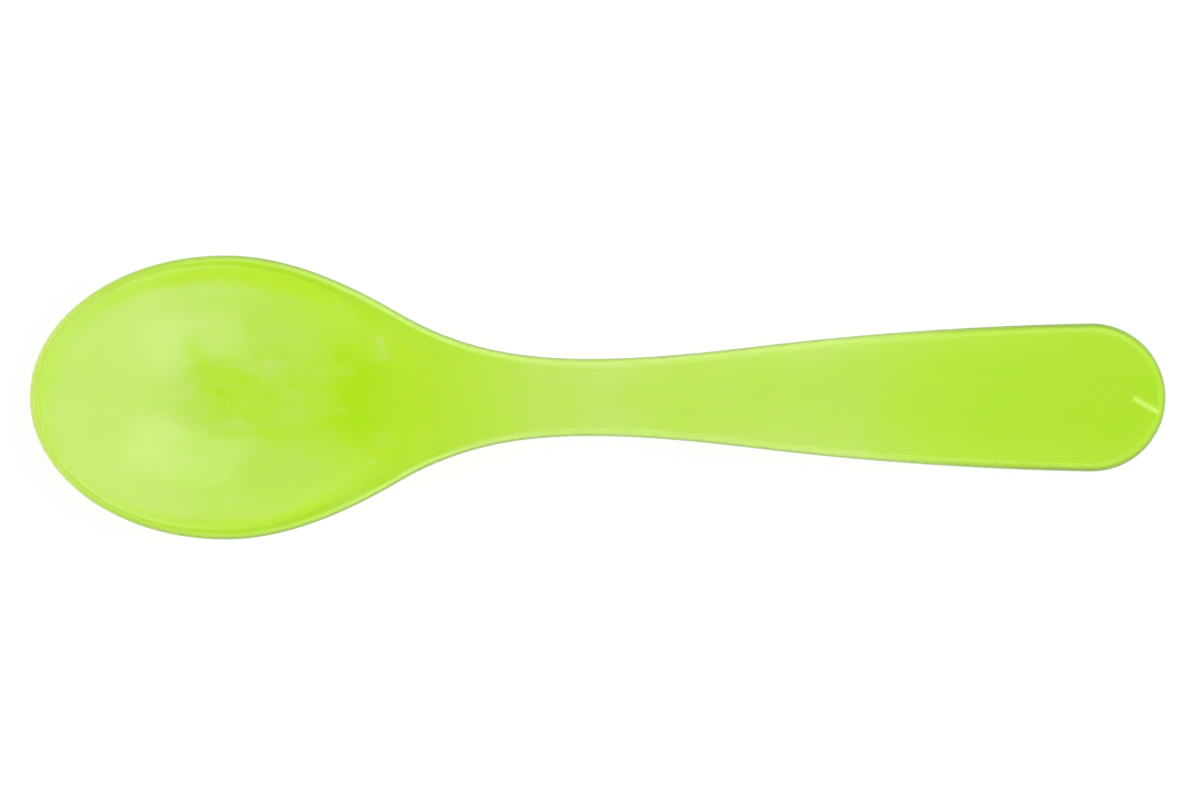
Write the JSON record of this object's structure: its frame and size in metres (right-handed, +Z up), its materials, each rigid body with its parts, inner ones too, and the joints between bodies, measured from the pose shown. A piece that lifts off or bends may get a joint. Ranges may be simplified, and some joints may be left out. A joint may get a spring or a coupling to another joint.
{
  "type": "baby spoon",
  "caption": "Small translucent lime-green plastic feeding spoon with a deep oval bowl, a narrow raised neck and a flat flared handle with a round end.",
  "frame": {"origin": "on the table the spoon rests on, under the middle of its length and width", "axes": "+X from the bowl towards the handle, +Y across the spoon, +Z up, out of the open side of the bowl"},
  "size_m": [0.14, 0.035, 0.012],
  "materials": {
    "plastic": "gloss"
  },
  "bodies": {
    "root": {"bowl": "plastic", "neck": "plastic", "handle": "plastic"}
  },
  "joints": []
}
